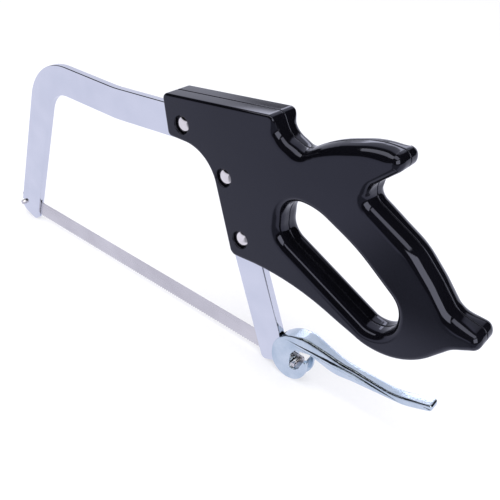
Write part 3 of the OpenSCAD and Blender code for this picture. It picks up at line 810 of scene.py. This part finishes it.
# %% Cheeks
in_head = across <= NECK
start = int(np.flatnonzero(in_head & ~np.roll(in_head, 1))[0])
order = np.roll(np.arange(len(across)), -start)
head_part = order[:in_head.sum()]
arm_part = np.concatenate([head_part[-1:], order[in_head.sum():], head_part[:1]])
lever = Piece()
for side in (-1, 1):
    rows = edge_rows(lever_outline, side * inner_side, side * half_width(across), steps=8, support=0.2)
    numbers = lever.rows(rows, flip=side < 0)
    lever.face([rows[-1]], [numbers[-1]], flip=side > 0)
    for part in (head_part, arm_part):
        lever.face([rows[0][part]], [numbers[0][part]], flip=side < 0)
print("head", len(head_part), "points, arm", len(arm_part))

# %% [markdown]
# ### The web
# Between the cheeks a web closes the fork above and behind the pin, and it is the cam that bears on the bar.
# Its upper and lower edges are the lever's own, so behind the neck it is drawn in by a hair, which keeps the
# two surfaces from flickering through each other.

# %% Web
web = rounded([
    (pin - 13.7, 32.8, 0, 0), (pin - 6, 40, 24, 0), (pin + 9, 44.4, 16, 0), (pin + 24, 41.45, 0, 0),
    (pin + 24, 29.6, 0, 0), (pin + 13.5, PIN_Z + 19, 6, 0), (pin + 2, PIN_Z + 16.5, 5, 0),
    (pin - HOOK_R, PIN_Z + 10, 8, 0), (pin - HOOK_R, PIN_Z - 2, 0, 0), (pin - 7.5, PIN_Z + 1, 0, 0),
    (pin - 7.5, PIN_Z + 3, 2, 0)], 2, 1.5)
HAIR = 0.03
inset = np.interp(web[0][:, 0], [NECK - 0.5, NECK + 0.5], [0, HAIR])
web_rows = [ring(web, inset, -FORK_HALF), ring(web, inset, FORK_HALF)]
web_numbers = lever.rows(web_rows)
lever.face([web_rows[0]], [web_numbers[0]])
lever.face([web_rows[1]], [web_numbers[1]], flip=True)
lever.make("tension_lever_zinc", "lever", "tension_lever", ZINC)

# %% [markdown]
# ## Floor
# The saw stands on matt white paper with a fibre of about 3 mm. Lit evenly, paper is near white and carries
# one faint, soft shadow. But shiny pieces mirror it too, and a plain white floor would make them flat and
# grey. The Light Path node tells who is looking, so one floor can serve both: the camera sees white paper,
# and mirrors see a painted reflection, a glowing bluish floor with painted shade at the front right, which
# gives the bar its lavender face.

# %% Paper
PAPER, tree, shader, coords = new_material("white_paper_floor")
fibre = add(tree, "ShaderNodeTexNoise", Vector=(coords, "Object"), Scale=METRE / 3.3333, Detail=3)
part = add(tree, "ShaderNodeMapRange", Value=(fibre, "Fac"), **SPREAD)
tint = add(tree, "ShaderNodeMix", COLOUR, _0=(part, "Result"), _6=linear("#ececef"), _7=linear("#efeff1"))
connect(tree, shader, Base_Color=(tint, 2), Roughness=0.9, Specular_IOR_Level=0.1)
print(PAPER.name, len(tree.nodes), "nodes")

# %% What mirrors see of the floor: a painted reflection
SOFT = {"interpolation_type": "SMOOTHSTEP"}
TIMES = {"operation": "MULTIPLY"}
axes = add(tree, "ShaderNodeSeparateXYZ", Vector=(coords, "Object"))
# Painted shade in the reflection: towards the front right, mirrors see the floor darker. The shade eases in
# as x goes from 0 to 0.12 m and as y goes from -0.10 to -0.17 m.
right = add(tree, "ShaderNodeMapRange", SOFT, Value=(axes, "X"), From_Min=0.0, From_Max=0.12)
near = add(tree, "ShaderNodeMapRange", SOFT, Value=(axes, "Y"), From_Min=-0.10, From_Max=-0.17)
painted_shade_in_reflection = add(tree, "ShaderNodeMath", TIMES, _0=(right, "Result"), _1=(near, "Result"))
seen = add(tree, "ShaderNodeMix", COLOUR, _0=(painted_shade_in_reflection, "Value"), _6=linear("#e5e7f8"), _7=linear("#898b97"))
# The floor glows with this colour for glossy rays only. This is a painted reflection in place of the lit
# paper.
mirrored = add(tree, "ShaderNodeEmission", Color=(seen, 2), Strength=1.0)
print("mirrors see the floor from", np.round(linear("#e5e7f8"), 2), "to", np.round(linear("#898b97"), 2))

# %% What the camera sees of the floor
LIFT = 0.45
ray = add(tree, "ShaderNodeLightPath")
white = add(tree, "ShaderNodeEmission", Color=linear("#fdfdff"), Strength=1.0)
share = add(tree, "ShaderNodeMath", TIMES, _0=(ray, "Is Camera Ray"), _1=LIFT)
lifted = add(tree, "ShaderNodeMixShader", _0=(share, "Value"), _1=(shader, "BSDF"), _2=(white, "Emission"))
mixed = add(tree, "ShaderNodeMixShader", _0=(ray, "Is Glossy Ray"), _1=(lifted, "Shader"),
            _2=(mirrored, "Emission"))
connect(tree, tree.nodes["Material Output"], Surface=(mixed, "Shader"))
print("the camera sees the paper lifted by", LIFT)

# %% Floor mesh
REACH = 6
mesh = bpy.data.meshes.new("floor")
corners = [(-REACH, -REACH, 0), (REACH, -REACH, 0), (REACH, REACH, 0), (-REACH, REACH, 0)]
mesh.from_pydata(corners, [], [(0, 1, 2, 3)])
mesh.materials.append(PAPER)
floor = bpy.data.objects.new("floor", mesh)
bpy.context.scene.collection.objects.link(floor)
print("floor", 2 * REACH, "m wide")

# %% [markdown]
# ## World
# A studio is mostly dark to a mirror, with a few bright panels. Lamps could be the panels, but they would
# light the paper too. So the panels are soft-edged patches of the sky that only shiny surfaces see, and
# everything else gets even white light.

# %% The sky's directions
world = bpy.data.worlds.new("studio")
bpy.context.scene.world = world
world.use_nodes = True
tree = world.node_tree
way = add(tree, "ShaderNodeTexCoord")
axes = add(tree, "ShaderNodeSeparateXYZ", Vector=(way, "Generated"))
print("world", world.name)


# %% Soft-edged panels
def between(axis, start, full, still_full, end):
    """1 from full to still_full of a direction's X, Y or Z, easing to 0 at start and end by f²(3 − 2f)."""
    up = add(tree, "ShaderNodeMapRange", SOFT, Value=(axes, axis), From_Min=start, From_Max=full)
    down = add(tree, "ShaderNodeMapRange", SOFT, Value=(axes, axis), From_Min=end, From_Max=still_full)
    return add(tree, "ShaderNodeMath", TIMES, _0=(up, "Result"), _1=(down, "Result"))


def panel(x, y, z, strength):
    """A bright patch of the sky: strength times between() on all three axes."""
    flat = add(tree, "ShaderNodeMath", TIMES, _0=(between("X", *x), "Value"), _1=(between("Y", *y), "Value"))
    whole = add(tree, "ShaderNodeMath", TIMES, _0=(flat, "Value"), _1=(between("Z", *z), "Value"))
    return add(tree, "ShaderNodeMath", TIMES, _0=(whole, "Value"), _1=strength)


panels = [panel((-0.72, -0.64, -0.5, -0.42), (0.3, 0.4, 2, 3), (0.2, 0.28, 0.385, 0.42), 2.8),
          panel((-0.52, -0.44, -0.15, -0.05), (0.3, 0.4, 2, 3), (0.2, 0.28, 0.46, 0.56), 2.5),
          panel((-3, -2, 0.0, 0.15), (0.3, 0.45, 2, 3), (0.39, 0.43, 2, 3), 0.72),
          panel((-3, -2, -0.70, -0.60), (0.25, 0.4, 2, 3), (-2, -1, 0.4, 0.55), 0.75),
          panel((-3, -2, 0.0, 0.2), (-3, -2, 2, 3), (-2, -1, 0.1, 0.25), 0.75)]
print(len(panels), "panels")

# %% Panels together
total = panels[0]
for other in panels[1:]:
    total = add(tree, "ShaderNodeMath", {"operation": "MAXIMUM"}, _0=(total, "Value"), _1=(other, "Value"))
COOL = (0.96, 0.98, 1.15)
shade = add(tree, "ShaderNodeVectorMath", {"operation": "SCALE"}, _0=COOL, Scale=(total, "Value"))
mirrored = add(tree, "ShaderNodeBackground", Color=(shade, "Vector"), Strength=1.0)
print("where panels meet, the brightest counts, and all are tinted", COOL)

# %% One world for each ray
ray = add(tree, "ShaderNodeLightPath")
room = tree.nodes["Background"]
connect(tree, room, Color=(0.96, 0.96, 1.0, 1), Strength=1.1)
seen = add(tree, "ShaderNodeBackground", Color=(0.94, 0.94, 0.97, 1), Strength=1.0)
open_air = add(tree, "ShaderNodeMixShader", _0=(ray, "Is Camera Ray"), _1=(room, "Background"),
               _2=(seen, "Background"))
mixed = add(tree, "ShaderNodeMixShader", _0=(ray, "Is Glossy Ray"), _1=(open_air, "Shader"),
            _2=(mirrored, "Background"))
connect(tree, tree.nodes["World Output"], Surface=(mixed, "Shader"))
print("world", len(tree.nodes), "nodes")

# %% [markdown]
# ## Softboxes
# Two wide lamps: one overhead, which draws the highlight along the rolled top edges, and one at the right,
# which draws it along the back of the grip. Spot lamps would draw dots, and a sun one hard shadow.


# %% Lamps
def softbox(name, place, angles, size, power):
    """A soft lamp, width by height in metres. It shines down, and is then turned by angles in degrees."""
    light = bpy.data.lights.new(name, "AREA")
    light.shape = "RECTANGLE"
    light.size, light.size_y = size
    light.energy = power
    obj = bpy.data.objects.new(name, light)
    obj.location = place
    obj.rotation_euler = [math.radians(a) for a in angles]
    bpy.context.scene.collection.objects.link(obj)
    print(name, size, "m", power, "W")


softbox("overhead_softbox", (-0.1, -0.15, 1.4), (0, 0, 0), (2.2, 0.55), 9)
softbox("side_softbox", (1.5, -0.65, 1.0), (59, 0, 64.3), (1.2, 1.2), 14)

# %% [markdown]
# ## Camera
# The camera stands near the grip's end and looks down along the saw, so the grip is large and the nose
# small. Such a close view needs the real place and lens: a longer lens from farther off would flatten the
# saw. The place is given from the front pin, like all sizes here. Standard view keeps white paper white.

# %% Camera
LENS, SENSOR = 48.02, 36
EYE, TURN = (0.541041, -0.32295, 0.36534), (56.0235, -3.2940, 39.9282)
camera = bpy.data.cameras.new("camera")
camera.sensor_width = SENSOR
camera.lens = LENS
camera_object = bpy.data.objects.new("camera", camera)
camera_object.location = (ORIGIN_X + EYE[0], EYE[1], EYE[2])
camera_object.rotation_euler = Euler([math.radians(a) for a in TURN])
bpy.context.scene.collection.objects.link(camera_object)
bpy.context.scene.camera = camera_object
bpy.context.scene.view_settings.view_transform = "Standard"
print("camera at", [round(v, 3) for v in camera_object.location], "lens", LENS)
